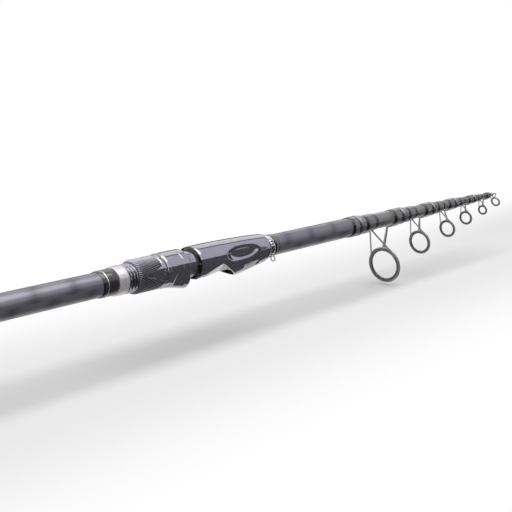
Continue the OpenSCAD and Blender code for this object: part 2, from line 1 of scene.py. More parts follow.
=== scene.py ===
# %% [markdown]
# # A telescopic fishing rod
# The rod lies closed along X, with the butt at X = 0 and its guides hanging below it. The imported CAD model comes
# first: its bodies carry every piece that is modelled here, and its solids stay, hidden where a piece replaces
# them.

# %% The frame
import math

import bpy
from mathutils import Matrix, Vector


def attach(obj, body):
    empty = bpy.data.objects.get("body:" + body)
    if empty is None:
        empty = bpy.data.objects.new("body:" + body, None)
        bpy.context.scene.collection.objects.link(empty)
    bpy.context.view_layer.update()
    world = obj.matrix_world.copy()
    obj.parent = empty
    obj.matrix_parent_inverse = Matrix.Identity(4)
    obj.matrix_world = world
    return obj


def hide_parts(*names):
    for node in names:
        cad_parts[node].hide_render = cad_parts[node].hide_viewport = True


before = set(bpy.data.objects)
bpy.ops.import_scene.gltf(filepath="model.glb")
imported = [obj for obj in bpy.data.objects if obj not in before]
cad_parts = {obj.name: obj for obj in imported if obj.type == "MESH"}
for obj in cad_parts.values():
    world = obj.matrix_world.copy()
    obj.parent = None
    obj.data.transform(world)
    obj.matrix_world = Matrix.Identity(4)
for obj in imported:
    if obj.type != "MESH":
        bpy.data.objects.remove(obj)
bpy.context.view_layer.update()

# %% [markdown]
# ## The sizes of the sections
# Each section is a tapered tube that slides in the one behind it. The tables repeat the part's own sizes in
# millimetres, by section: 1 is the butt, 2 to 6 carry guides, 7 is the solid tip. Working in millimetres keeps the
# numbers readable, and one factor turns them into Blender's metres.

# %% Sections
MM = 0.001
TAPER = 0.0008
WALL = [0, 0.8, 0.56, 0.48, 0.4, 0.36, 0.86]
OVERLAP = [0, 0, 60, 52, 45, 38, 30, 24]
REAR = [0, 0, 18.2, 14.4, 13.2, 11.1, 10]
BARE = [0, 0, 23.5, 13.1, 7.2, 6, 7.5]
FRONT = [0, 11, 14.4, 13.6, 12.3, 10.7, 8.7]
RING = [0, 8, 8.9, 8.5, 8.3, 7.5, 0]
GUIDE_OD = [0, 0, 30.5, 21.2, 16.3, 13.3, 9.7]
DROP = [0, 0, 38.5, 27.5, 22, 16.5, 13]
AHEAD = [0, 0, 37.5, 27.7, 25.7, 18.3, 15.5]
GAP = 0.3
BASE_X = 25.3
BUTT_MOUTH_X = 458.1
TIP_R = 1.1
NOSE = 0.45  # the share of a mouth ring that reaches past its tube


def mouth_x(k):
    if k == 1:
        return BUTT_MOUTH_X
    return mouth_x(k - 1) + GAP + REAR[k] + BARE[k] + FRONT[k] + RING[k]


def start_x(k):
    return mouth_x(k - 1) + GAP


def play(k):
    return 0.03 + TAPER * (mouth_x(k - 1) - BASE_X - OVERLAP[k])


TIP_X = start_x(7) + 7


def root_r(k):
    if k == 7:
        return TIP_R + TAPER * TIP_X
    return root_r(k + 1) + play(k + 1) + WALL[k]


def tube_r(k, x):
    return root_r(k) - TAPER * x


def bore_r(k, x):
    return root_r(k + 1) + play(k + 1) - TAPER * x


def tube_end(k):
    return mouth_x(k) - NOSE * RING[k]


print("mouths at", [round(mouth_x(k), 1) for k in range(1, 7)], "radii", [round(root_r(k), 2) for k in range(1, 8)])

# %% [markdown]
# ## Turning on a lathe
# Most of a rod is round, so most pieces start as half a profile that is spun about the rod's axis. By hand this is
# a plane merged to one vertex, moved to the first point of the profile and extruded from point to point, then
# Spin through a full turn. Corners are eased first, because a real edge always catches a thin line of light.

# %% Profiles and the lathe
MERGE = 0.002 * MM
SHARP = 35  # degrees: a steeper edge stays sharp


def eased(points, radius, steps=3):
    """The profile with each inner corner replaced by a short curve."""
    out = [points[0]]
    for a, b, c in zip(points, points[1:], points[2:]):
        a, b, c = Vector(a), Vector(b), Vector(c)
        into, away = a - b, c - b
        p = b + into * min(0.45, radius / max(into.length, 1e-6))
        q = b + away * min(0.45, radius / max(away.length, 1e-6))
        for i in range(steps + 1):
            t = i / steps
            out.append(tuple(p * (1 - t) ** 2 + b * 2 * t * (1 - t) + q * t ** 2))
    return out + [points[-1]]


def drawn(name, profile):
    """Draws a profile of (x, radius) points in millimetres above the X axis, and stays in edit mode."""
    bpy.ops.object.select_all(action="DESELECT")
    bpy.ops.mesh.primitive_plane_add(size=MM)
    piece = bpy.context.object
    piece.name = piece.data.name = name
    bpy.ops.object.mode_set(mode="EDIT")
    bpy.ops.mesh.merge(type="CENTER")
    bpy.ops.transform.translate(value=(profile[0][0] * MM, 0, profile[0][1] * MM))
    for (x0, r0), (x1, r1) in zip(profile, profile[1:]):
        step = ((x1 - x0) * MM, 0, (r1 - r0) * MM)
        bpy.ops.mesh.extrude_region_move(TRANSFORM_OT_translate={"value": step})
    bpy.ops.mesh.select_all(action="SELECT")
    return piece


def turned(name, profile, steps=96, angle=SHARP):
    """Spins a profile about the X axis."""
    piece = drawn(name, profile)
    bpy.ops.mesh.spin(steps=steps, angle=2 * math.pi, center=(0, 0, 0), axis=(1, 0, 0))
    tidy_mesh(angle)
    return piece


def tidy_mesh(angle):
    """Merges doubles, turns the faces outwards and shades all but the sharp edges smooth."""
    bpy.ops.mesh.select_all(action="SELECT")
    bpy.ops.mesh.remove_doubles(threshold=MERGE)
    bpy.ops.mesh.normals_make_consistent(inside=False)
    bpy.ops.object.mode_set(mode="OBJECT")
    bpy.ops.object.shade_smooth_by_angle(angle=math.radians(angle))


def sleeve(name, outer, bore, steps=96):
    """A turned ring: the outer profile, and a bore as two radii at its ends."""
    first, last = outer[0], outer[-1]
    loop = outer + [(last[0], bore[1]), (first[0], bore[0]), first]
    return turned(name, loop, steps)


print("lathe ready")

# %% [markdown]
# ## Shells that aren't round
# The reel seat, its hoods and the windings over the guide feet start as turned sleeves, but have flats, lobes and
# hollows. Booleans could cut these, but they leave hard seams that a glossy finish shows. Here the sleeve is spun
# with many rings, and each vertex is then pushed in or out along its radius by a rule, as proportional editing
# does by eye. Where two forms meet, a soft minimum or maximum rounds the edge.

# %% Rules for radii
def soft_min(a, b, k):
    h = max(k - abs(a - b), 0) / k
    return min(a, b) - h * h * k / 4


def soft_max(a, b, k):
    return -soft_min(-a, -b, k)


def flat(angle, facing, distance):
    """How far out a flat lies along a ray, if it faces that way at that distance from the axis."""
    lean = math.cos(angle - facing)
    return distance / lean if lean > 0.05 else 99


def far_side(angle, y, z, r):
    """Where a ray from the axis leaves a circle about (y, z)."""
    along = y * math.cos(angle) + z * math.sin(angle)
    inside = r * r - y * y - z * z + along * along
    return along + math.sqrt(inside) if inside > 0 else 0


def ramp(x, a, b):
    """A smooth step from 0 at a to 1 at b."""
    t = min(1, max(0, (x - a) / (b - a)))
    return t * t * (3 - 2 * t)


def on_line(x, points):
    """The radius at x on a profile of (x, radius) points."""
    for (x0, r0), (x1, r1) in zip(points, points[1:]):
        if x <= x1:
            return r0 + (r1 - r0) * (x - x0) / max(x1 - x0, 1e-9)
    return points[-1][1]


def shell(name, x0, x1, rings, steps, outer, inner, ends=None, inner_rings=1):
    """A sleeve between two rules for the radius. ends(angle, radius) gives the x of both rims where they lean."""
    xs, back = ([x0 + (x1 - x0) * i / n for i in range(n + 1)] for n in (rings, inner_rings))
    loop = [(x, 2.0) for x in xs] + [(x, 1.0) for x in reversed(back)] + [(x0, 2.0)]
    piece = turned(name, loop, steps)
    for v in piece.data.vertices:
        x = v.co.x / MM
        a = math.atan2(v.co.z, v.co.y)
        rule = outer if math.hypot(v.co.y, v.co.z) > 1.5 * MM else inner
        r = rule(x, a)
        if ends:
            low, high = ends(a, r)
            x = low + (high - low) * (x - x0) / (x1 - x0)
            r = rule(x, a)
        v.co = (x * MM, r * math.cos(a) * MM, r * math.sin(a) * MM)
    bpy.ops.object.mode_set(mode="EDIT")
    tidy_mesh(SHARP)
    return piece


print("shell rules ready")

# %% [markdown]
# ## Wires and joints
# Guide frames, the tip-top and the hook keeper are bent from wire and brazed together. A wire is a Bezier curve
# with a round bevel, made a mesh. Brazed pieces are joined and fused with a voxel remesh, which leaves the small
# fillets that the braze leaves, and a light smoothing takes the voxel steps off.

# %% Wire, strip, join and fuse
def pick(*pieces):
    """Selects just these pieces and makes the first one active."""
    bpy.ops.object.select_all(action="DESELECT")
    for p in pieces:
        p.select_set(True)
    bpy.context.view_layer.objects.active = pieces[0]


def wire(name, points, radius, cyclic=False):
    curve = bpy.data.curves.new(name, "CURVE")
    curve.dimensions = "3D"
    curve.bevel_depth = radius * MM
    curve.bevel_resolution = 5
    curve.resolution_u = 10
    curve.use_fill_caps = True
    spline = curve.splines.new("BEZIER")
    spline.bezier_points.add(len(points) - 1)
    spline.use_cyclic_u = cyclic
    for knot, p in zip(spline.bezier_points, points):
        knot.co = Vector(p) * MM
        knot.handle_left_type = knot.handle_right_type = "AUTO"
    piece = bpy.data.objects.new(name, curve)
    bpy.context.collection.objects.link(piece)
    pick(piece)
    bpy.ops.object.convert(target="MESH")
    piece = bpy.context.object
    bpy.ops.object.mode_set(mode="EDIT")
    tidy_mesh(40)
    return piece


def strip(name, p, q, w0, w1, t):
    """A flat strip from p to q in the XZ plane, as wide as w0 and then w1."""
    p, q = Vector(p), Vector(q)
    thick = Vector(((q - p).z, 0, -(q - p).x)).normalized() * t
    bpy.ops.object.select_all(action="DESELECT")
    bpy.ops.mesh.primitive_plane_add(size=MM)
    piece = bpy.context.object
    piece.name = piece.data.name = name
    side = Vector((0, 0.5, 0))
    corners = {(-1, -1): p - side * w0, (-1, 1): p + side * w0, (1, -1): q - side * w1, (1, 1): q + side * w1}
    for v in piece.data.vertices:
        v.co = (corners[(1 if v.co.x > 0 else -1, 1 if v.co.y > 0 else -1)] - thick / 2) * MM
    bpy.ops.object.mode_set(mode="EDIT")
    bpy.ops.mesh.select_all(action="SELECT")
    bpy.ops.mesh.extrude_region_move(TRANSFORM_OT_translate={"value": thick * MM})
    tidy_mesh(SHARP)
    return piece


def joined(pieces):
    pick(*pieces)
    bpy.ops.object.join()
    return bpy.context.object


def fused(pieces, voxel, rounds=6):
    piece = joined(pieces)
    remesh = piece.modifiers.new("fuse", "REMESH")
    remesh.mode = "VOXEL"
    remesh.voxel_size = voxel * MM
    bpy.ops.object.modifier_apply(modifier=remesh.name)
    smooth = piece.modifiers.new("smooth", "SMOOTH")
    smooth.iterations = rounds
    bpy.ops.object.modifier_apply(modifier=smooth.name)
    bpy.ops.object.shade_smooth()
    return piece


def tilted(piece, at, lean):
    """Leans a piece that was turned about X, so that its top goes towards the butt, and puts it in place."""
    piece.rotation_euler = (0, -math.radians(lean), 0)
    piece.location = Vector(at) * MM
    pick(piece)
    bpy.ops.object.transform_apply(location=True, rotation=True, scale=True)
    return piece


print("wire tools ready")

# %% [markdown]
# ## Writing materials
# Every finish is a Principled shader whose pattern reads Object coordinates, so that it keeps its real size. Two
# helpers are enough: one turns a hex colour into linear light, the other adds a node with its settings and links.

# %% Material helpers
def colour(code):
    parts = [int(code[i:i + 2], 16) / 255 for i in (1, 3, 5)]
    return tuple(c / 12.92 if c <= 0.04045 else ((c + 0.055) / 1.055) ** 2.4 for c in parts) + (1.0,)


def add(tree, kind, inputs=(), **settings):
    node = tree.nodes.new(kind)
    for key, value in settings.items():
        setattr(node, key, value)
    for key, value in dict(inputs).items():
        if isinstance(value, bpy.types.NodeSocket):
            tree.links.new(value, node.inputs[key])
        else:
            node.inputs[key].default_value = value
    return node


def finish_named(name, **sockets):
    """A new material with a Principled shader set by its socket names, spaces written as underscores."""
    made = bpy.data.materials.new(name)
    made.use_nodes = True
    tree = made.node_tree
    shader = tree.nodes["Principled BSDF"]
    for key, value in sockets.items():
        shader.inputs[key.replace("_", " ")].default_value = value
    place = add(tree, "ShaderNodeTexCoord").outputs["Object"]
    return made, tree, shader, place


print("material helpers ready")

# %% [markdown]
# ## Carbon blank
# A blank is rolled from carbon prepreg under shrink tape, then sanded and coated with satin lacquer. The tape
# leaves a faint spiral, here 14 mm wide, and the fibres run along the tube. The spiral comes from the angle about
# the axis plus the place along it, the fibre streaks from noise that is stretched along X. The butt has a lilac
# cast, the sliding sections a plain grey.

# %% Satin carbon
def satin_carbon(name, dark, light):
    made, tree, shader, place = finish_named(
        name, Metallic=0.55, Roughness=0.34, Coat_Weight=0.35, Coat_Roughness=0.22)
    axes = add(tree, "ShaderNodeSeparateXYZ", {0: place})
    angle = add(tree, "ShaderNodeMath", {0: axes.outputs["Z"], 1: axes.outputs["Y"]}, operation="ARCTAN2")
    turns = add(tree, "ShaderNodeMath", {0: angle.outputs[0], 1: 1 / (2 * math.pi)}, operation="MULTIPLY")
    tape = 14 * MM
    along = add(tree, "ShaderNodeMath", {0: axes.outputs["X"], 1: 1 / tape, 2: turns.outputs[0]},
                operation="MULTIPLY_ADD")
    band = add(tree, "ShaderNodeMath", {0: along.outputs[0], 1: 1.0}, operation="PINGPONG")
    # Streaks of fibre about 17 mm long and 0.7 mm wide.
    stretch = add(tree, "ShaderNodeMapping", {"Vector": place, "Scale": (60, 1400, 1400)})
    fibre = add(tree, "ShaderNodeTexNoise", {"Vector": stretch.outputs[0], "Scale": 1.0, "Detail": 3.0})
    mix = add(tree, "ShaderNodeMath", {0: fibre.outputs["Fac"], 1: 0.5, 2: band.outputs[0]},
              operation="MULTIPLY_ADD")
    tint = add(tree, "ShaderNodeValToRGB", {"Fac": mix.outputs[0]})
    for stop, code, where in zip(tint.color_ramp.elements, (dark, light), (0.2, 1.1 / 1.5)):
        stop.color, stop.position = colour(code), where
    tree.links.new(tint.outputs[0], shader.inputs["Base Color"])
    bump = add(tree, "ShaderNodeBump", {"Height": mix.outputs[0], "Strength": 0.12, "Distance": 0.05 * MM})
    tree.links.new(bump.outputs[0], shader.inputs["Normal"])
    return made


carbon = satin_carbon("satin_carbon_lacquer", "#5F5D67", "#7E7C86")
slim_carbon = satin_carbon("grey_carbon_lacquer", "#6B6A68", "#898885")
print("made", carbon.name, slim_carbon.name)

# %% [markdown]
# ## Thread winding under epoxy
# Guides are bound on with fine thread and sealed under clear epoxy. The eye sees a grey ribbed band deep under a
# glassy coat, with a few black turns at each end. The ribs are drawn 0.5 mm apart, about twice the real thread,
# because finer ones wouldn't show. The attribute from_end gives each point's distance from the nearer end as a
# share of the winding's length, so that one material serves windings of every length.

# %% Winding
def epoxy_winding(name, middle, ends, end_turns):
    made, tree, shader, place = finish_named(
        name, Metallic=0.25, Roughness=0.38, Coat_Weight=1.0, Coat_Roughness=0.04, Coat_IOR=1.55)
    axes = add(tree, "ShaderNodeSeparateXYZ", {0: place})
    thread = 0.5 * MM
    count = add(tree, "ShaderNodeMath", {0: axes.outputs["X"], 1: 1 / thread}, operation="MULTIPLY")
    rib = add(tree, "ShaderNodeMath", {0: count.outputs[0], 1: 0.5}, operation="PINGPONG")
    reach = add(tree, "ShaderNodeAttribute", attribute_name="from_end")
    inner = add(tree, "ShaderNodeMapRange", {
        "Value": reach.outputs["Fac"], "From Min": end_turns, "From Max": end_turns + 0.02})
    base = add(tree, "ShaderNodeMix", {"Factor": inner.outputs[0], "A": colour(ends), "B": colour(middle)},
               data_type="RGBA")
    # Painted shade: the colour darkens to 82 per cent towards each rib's edge, as the rounded turns of thread
    # shade.
    shade = add(tree, "ShaderNodeMapRange", {
        "Value": rib.outputs[0], "From Max": 0.5, "To Min": 0.82, "To Max": 1.0})
    painted_rib_shade = add(tree, "ShaderNodeMix", {"Factor": 1.0, "A": base.outputs["Result"]},
                 data_type="RGBA", blend_type="MULTIPLY")
    tree.links.new(shade.outputs[0], painted_rib_shade.inputs["B"])
    tree.links.new(painted_rib_shade.outputs["Result"], shader.inputs["Base Color"])
    bump = add(tree, "ShaderNodeBump", {"Height": rib.outputs[0], "Strength": 0.35, "Distance": 0.12 * MM})
    tree.links.new(bump.outputs[0], shader.inputs["Normal"])
    return made


winding = epoxy_winding("thread_winding_under_epoxy", "#6C6B6D", "#060607", 0.25)
dark_winding = epoxy_winding("black_winding_under_epoxy", "#2E2D31", "#151416", 0.07)
print("made", winding.name, dark_winding.name)

# %% [markdown]
# ## Metals, ceramic and mouldings
# The other finishes differ in how they were made: turned rings carry fine lines round the axis, plated mouldings a
# slight orange peel, wire a drawn grain, moulded caps a matt texture. One recipe covers them: noise at the grain's
# real size, stretched where the tool ran, shifts the colour between two close tones, the roughness and the height.

# %% Grained finishes
def grained(name, dark, light, grain, stretch=(1, 1, 1), rough=(0.2, 0.3), height=0.02, **sockets):
    """A finish with grain of that size in millimetres. stretch is how much finer the grain is along X, Y and Z."""
    made, tree, shader, place = finish_named(name, **sockets)
    size = 1 / (grain * MM)
    spread = add(tree, "ShaderNodeMapping", {"Vector": place, "Scale": [size * s for s in stretch]})
    noise = add(tree, "ShaderNodeTexNoise", {
        "Vector": spread.outputs[0], "Scale": 1.0, "Detail": 4.0, "Roughness": 0.6})
    tone = add(tree, "ShaderNodeValToRGB", {"Fac": noise.outputs["Fac"]})
    for stop, code, where in zip(tone.color_ramp.elements, (dark, light), (0.3, 0.7)):
        stop.color, stop.position = colour(code), where
    tree.links.new(tone.outputs[0], shader.inputs["Base Color"])
    gloss = add(tree, "ShaderNodeMapRange", {
        "Value": noise.outputs["Fac"], "From Min": 0.3, "From Max": 0.7, "To Min": rough[0], "To Max": rough[1]})
    tree.links.new(gloss.outputs[0], shader.inputs["Roughness"])
    bump = add(tree, "ShaderNodeBump", {"Height": noise.outputs["Fac"], "Strength": 0.4, "Distance": height * MM})
    tree.links.new(bump.outputs[0], shader.inputs["Normal"])
    return made


# Anodised aluminium, turned: a soft grey sheen with fine lines round the ring.
satin_ring = grained("turned_anodised_aluminium", "#A2A19E", "#BDBCB9", 0.5, (1, 0.02, 0.02), (0.26, 0.38), 0.01,
                     Metallic=1.0)
# Stainless wire with a grey satin coat: the metal glints through, and the coat scatters part of the light.
coated_wire = grained("grey_coated_stainless_wire", "#A3A2A6", "#B9B8BC", 1.2, height=0.008, Metallic=0.55)
# Polished silicon carbide: dense, dark grey and very smooth.
ceramic = grained("polished_silicon_carbide", "#4C4B50", "#5E5D62", 0.4, rough=(0.08, 0.14), height=0.003,
                  Metallic=0.35, Coat_Weight=0.6)
# Nylon moulding with a smoked metal plating under lacquer: a mirror with a lilac cast and a trace of orange peel.
plating = grained("smoked_plated_nylon", "#A9A7B1", "#B2B0BA", 4.0, rough=(0.09, 0.13), height=0.001,
                  Metallic=0.9, Coat_Weight=0.6, Coat_Roughness=0.05)
# Nylon on the barrel at the thread's root, nearly black as painted shade between the ridges, with a soft moulded
# gloss.
root_shade_nylon = grained("glossy_nylon_painted_root_shade", "#0E0D10", "#161518", 0.9, height=0.006, Coat_Weight=0.3,
                     Coat_Roughness=0.1)
# Painted highlight: the thread's ridges get a lighter plating than the rest, so that they stand out.
thread_highlight_plating = grained("smoked_plating_painted_thread_highlight", "#B4B3BB", "#C0BFC7", 1.0, rough=(0.14, 0.22), height=0.006,
                         Metallic=1.0)
# The nut has the same plating, brushed duller by the knurl; the nut's grooves get painted shade further on.
nut_plating = grained("smoked_plated_knurl", "#92919A", "#9E9DA6", 0.8, rough=(0.26, 0.36), height=0.01,
                      Metallic=0.9)
# Black lacquered trim: deep and wet-looking.
black_lip = grained("black_lacquered_trim", "#0B0A0C", "#131215", 1.5, rough=(0.1, 0.18), height=0.004,
                    Coat_Weight=0.8, Coat_Roughness=0.05)
# Bright chrome plate on brass: takes its look from what it mirrors.
chrome = grained("bright_chrome_plate", "#DEDCE2", "#EBEAEE", 2.0, rough=(0.05, 0.1), height=0.003, Metallic=1.0)
# Pearl-lacquered aluminium: pale, slightly pink, soft highlights.
pearl = grained("pearl_lacquered_aluminium", "#DBD0D8", "#E7DEE4", 0.6, (1, 0.05, 0.05), (0.24, 0.34), 0.006,
                Metallic=0.55)
# Metallised polyester thread: a bright silver line.
silver_trim = grained("metallised_trim_thread", "#C9C7CC", "#E2E0E4", 0.3, (1, 0.1, 0.1), (0.2, 0.3), 0.02,
                      Metallic=0.9)
# Soft rubber cushion: matt black.
rubber = grained("moulded_rubber", "#1B1B1D", "#262628", 0.5, rough=(0.6, 0.75))
# Arbors of graphite-filled resin: dull dark grey.
arbor = grained("graphite_filled_resin", "#37373A", "#47474A", 0.6, rough=(0.5, 0.65), height=0.03)
# Spark-eroded ABS moulding: fine even texture that kills the gloss.
cap_plastic = grained("textured_black_abs", "#1D1C1F", "#29282B", 0.45, rough=(0.38, 0.5), height=0.03)
print("made", len(bpy.data.materials), "materials in all")

# %% [markdown]
# ## Putting a piece on the rod
# A finished piece gets its material, rides on the body that carries it in the CAD model, and stands for the CAD
# node it was made from, which is hidden.


def dress(piece, finish, body, *nodes):
    if not piece.data.materials:
        piece.data.materials.append(finish)
    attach(piece, body)
    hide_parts(*nodes)
    print(piece.name, len(piece.data.polygons), "faces on", body)


def body_name(k):
    return {1: "butt", 7: "tip_section"}.get(k, f"section_{k}")


# %% [markdown]
# ## Blanks
# Each tube is turned with its wall and its taper. Its mouth is eased, because it is sanded round before the ring
# goes on. The tip section is solid, and ends inside the tip-top's tube.

# %% Blanks
BUTT_X = 12
for k in range(1, 7):
    x0, x1 = (BUTT_X if k == 1 else BASE_X), tube_end(k)
    r0, r1 = tube_r(k, x0), tube_r(k, x1)
    outer = eased([(x0, r0 - 0.2), (x0 + 0.2, r0), (x1 - 0.2, r1), (x1, r1 - 0.1)], 0.1)
    name, finish = ("butt_blank", carbon) if k == 1 else (f"blank_{k}", slim_carbon)
    tube = sleeve("carbon_" + name, outer, (bore_r(k, x0), bore_r(k, x1)), 128)
    dress(tube, finish, body_name(k), name)
x1 = TIP_X - 0.6
tip_half = [(BASE_X, 0), (BASE_X, tube_r(7, BASE_X)), (x1, tube_r(7, x1)), (x1, 0)]
dress(turned("carbon_tip", eased(tip_half, 0.15), 48), slim_carbon, "tip_section", "tip_blank")

# %% [markdown]
# ## Mouth rings
# A light metal ring guards each tube's mouth: a raised shoulder over the tube, then a nose that closes down to the
# bore of the tube inside. The shoulder's rear edge is a narrow bead.

# %% Mouth rings
SHOULDER = 0.68
for k in range(1, 6):
    x0, x1, xe = mouth_x(k) - RING[k], mouth_x(k), tube_end(k)
    r0, r1 = tube_r(k, x0), tube_r(k, x1)
    top = r0 + SHOULDER
    outer = eased([
        (x0, r0 + 0.05), (x0, top - 0.1), (x0 + 0.4, top + 0.06), (x0 + 1.2, top + 0.06), (x0 + 1.5, top - 0.12),
        (x0 + 1.9, top), (xe - 1.2, top), (xe + 0.4, r1 + 0.2), (x1 - 0.4, r1 + 0.05), (x1, r1 - 0.15)], 0.25)
    loop = outer + [(x1, bore_r(k, x1)), (xe, bore_r(k, xe)), (xe, tube_r(k, xe)), outer[0]]
    dress(turned(f"satin_mouth_ring_{k}", loop, 112), satin_ring, body_name(k), f"mouth_ring_{k}")

# %% [markdown]
# ## Windings
# The thread lies in a low dome, and swells into a ridge where it climbs over a guide's foot. The dome is the rule
# for the radius, the ridge a second circle below the tube, and a soft maximum lets the epoxy fill the angle
# between them.

# %% Windings
WRAP_T = 0.62
FOOT_T = 0.8
FOOT_W = 2.4  # of the largest guide


def foot_width(k):
    return FOOT_W * (0.5 + 0.5 * GUIDE_OD[k] / GUIDE_OD[2])


def wrap(name, k, x0, x1, t, ridge_r=0, ridge_z=0):
    dome = min(2.4, 0.25 * (x1 - x0))
    crown = eased([
        (x0, 0.12 * t), (x0 + 0.25 * dome, 0.7 * t), (x0 + dome, t),
        (x1 - dome, t), (x1 - 0.25 * dome, 0.7 * t), (x1, 0.12 * t)], 1.2)

    def outer(x, a):
        r = tube_r(k, x) + on_line(x, crown)
        if not ridge_r:
            return r
        swell = ramp(x, x0 + 0.2, x0 + 2) * ramp(x1 - x, 0.2, 2)
        over = far_side(a, 0, ridge_z, ridge_r)
        return r + (soft_max(r, over, 0.5) - r) * swell

    piece = shell(name, x0, x1, max(16, int((x1 - x0) / 0.4)), 96, outer, lambda x, a: tube_r(k, x) - 0.02)
    reach = piece.data.attributes.new("from_end", "FLOAT", "POINT")
    for v in piece.data.vertices:
        x = v.co.x / MM
        reach.data[v.index].value = min(x - x0, x1 - x) / (x1 - x0)
    return piece


for k in range(2, 7):
    x0, x1 = start_x(k), start_x(k) + REAR[k] + BARE[k]
    rim = foot_width(k) / 2 + FOOT_T
    pair = [wrap(f"winding_{k}", k, a, a + n, WRAP_T, rim, 0.4 - tube_r(k, a))
            for a, n in ((x0, REAR[k]), (x1, FRONT[k]))]
    dress(joined(pair), winding, body_name(k), f"windings_{k}")
x1 = mouth_x(1) - RING[1]
dress(wrap("winding_at_mouth", 1, x1 - FRONT[1], x1, WRAP_T), winding, "butt", "mouth_winding")

# %% [markdown]
# ## Rings and winding behind the seat
# A black winding with one silver line runs up to the seat, and a pale ring closes the seat's rear. The silver line
# is a few turns of metallised thread, so it is a thin bead that stands just proud of the epoxy.

# %% Rear trim
SEAT_X = 202.7
RING_X = SEAT_X - 7.6
WRAP_X = RING_X - 12.1
REAR_WRAP_T = 1.1 * WRAP_T
dress(wrap("winding_behind_seat", 1, WRAP_X, RING_X, REAR_WRAP_T), dark_winding, "butt", "rear_winding")
x0 = WRAP_X + 3.2
r = tube_r(1, x0) + REAR_WRAP_T
bead = eased([
    (x0, r - 0.3), (x0, r + 0.02), (x0 + 0.3, r + 0.1), (x0 + 0.6, r + 0.1), (x0 + 0.9, r + 0.02),
    (x0 + 0.9, r - 0.3)], 0.1)
dress(sleeve("silver_trim_line", bead, (r - 0.3, r - 0.3), 112), silver_trim, "butt", "trim_line")
r = tube_r(1, SEAT_X)
outer = eased([
    (RING_X, r), (RING_X, r + 1.0), (RING_X + 0.6, r + 1.4), (SEAT_X - 0.6, r + 1.58), (SEAT_X, r + 1.3),
    (SEAT_X, r)], 0.35)
dress(turned("pearl_rear_ring", outer + [outer[0]], 128), pearl, "butt", "rear_ring")

# %% [markdown]
# ## Reel seat: thread and barrel
# The barrel is one moulding with the shell. Its thread is a true helix: a small closed profile under the Screw
# modifier, one turn for each lead of 2.5 mm, with its two ends capped. The nut travels that far in a turn.

# %% Barrel and thread
CREST_R = tube_r(1, SEAT_X) + 1.6
BORE_R = tube_r(1, SEAT_X) + 0.4
LEAD = 2.5
TURNS = 18
NUT_X, HOOD_X, HOOD_END = 209.9, 233.2, 253.6
SHELL_X = 263.4
SEAT_END = SHELL_X + 73.4
root = CREST_R - 0.6
barrel_r = CREST_R - 0.3
THREAD_END = HOOD_END - 2.5
barrel = sleeve("plated_reel_seat", eased([
    (SEAT_X, root - 0.3), (SEAT_X + 0.3, root), (THREAD_END, root), (THREAD_END + 0.5, barrel_r),
    (SHELL_X + 1, barrel_r)], 0.2), (BORE_R, BORE_R), 128)


def helix(x0):
    foot = root - 0.1
    tooth = [(x0, foot), (x0 + 0.45, CREST_R), (x0 + 1.15, CREST_R), (x0 + 1.65, foot), (x0, foot)]
    thread = drawn("thread", tooth)
    bpy.ops.mesh.remove_doubles(threshold=MERGE)
    bpy.ops.object.mode_set(mode="OBJECT")
    sweep = thread.modifiers.new("sweep", "SCREW")
    sweep.axis = "X"
    sweep.screw_offset = LEAD * MM
    sweep.iterations = TURNS
    sweep.steps = sweep.render_steps = 64
    bpy.ops.object.modifier_apply(modifier=sweep.name)
    bpy.ops.object.mode_set(mode="EDIT")
    bpy.ops.mesh.select_all(action="SELECT")
    bpy.ops.mesh.fill_holes(sides=0)
    tidy_mesh(50)
    print("thread of", TURNS, "turns,", len(thread.data.polygons), "faces")
    return thread


thread = helix(SEAT_X + 0.3)
# The thread takes the lighter plating, a painted highlight.
thread.data.materials.append(thread_highlight_plating)
barrel.data.materials.append(plating)
barrel.data.materials.append(root_shade_nylon)
# The barrel's rear, where the thread's root lies, takes the nearly black nylon as painted shade between the ridges.
for face in barrel.data.polygons:
    face.material_index = int(face.center.x < THREAD_END * MM)

# %% [markdown]
# ## Reel seat: shell
# The front shell is a tapering sleeve. Its underside is flat for the reel's foot, two flats deepen along the lower
# flanks towards the fixed hood, and a thumb scoop is hollowed into each side. All are rules on one sleeve, so that
# the plating runs over their edges without a seam.

# %% Shell
SHELL_R = CREST_R + 2.3
SHELL_END_R = tube_r(1, SEAT_END) + 2.3
MOUTH_X = SHELL_X + 41
LOBE_DEPTH, LOBE_R, LOBE_WALL = 14.4, 9.8, 0.9
MOUTH_LEAN = math.tan(math.radians(58))
PLATFORM, ROOF = 8.6, 8.5
DOWN = -math.pi / 2
SCOOP_X = SHELL_X + 42
SCOOP_TURN = math.radians(14)
SCOOP_HALF_LENGTH, SCOOP_HALF_ARC, SCOOP_SQUARE = 18.0, 6.2, 2.4
SCOOP_DEPTH, SCOOP_FLOOR_R = 2.1, 26
skin = eased([
    (SHELL_X, SHELL_R - 0.6), (SHELL_X + 0.6, SHELL_R), (SHELL_X + 22, SHELL_R), (SHELL_X + 36, SHELL_R - 0.35),
    (SHELL_X + 54, SHELL_END_R + 0.9), (SEAT_END - 3, SHELL_END_R), (SEAT_END - 1, SHELL_END_R - 0.5),
    (SEAT_END, SHELL_END_R - 1.3)], 5, 6)


def mouth_at(z):
    """Where the fixed hood's leaning mouth lies at that height."""
    return MOUTH_X - (z + LOBE_DEPTH) * MOUTH_LEAN


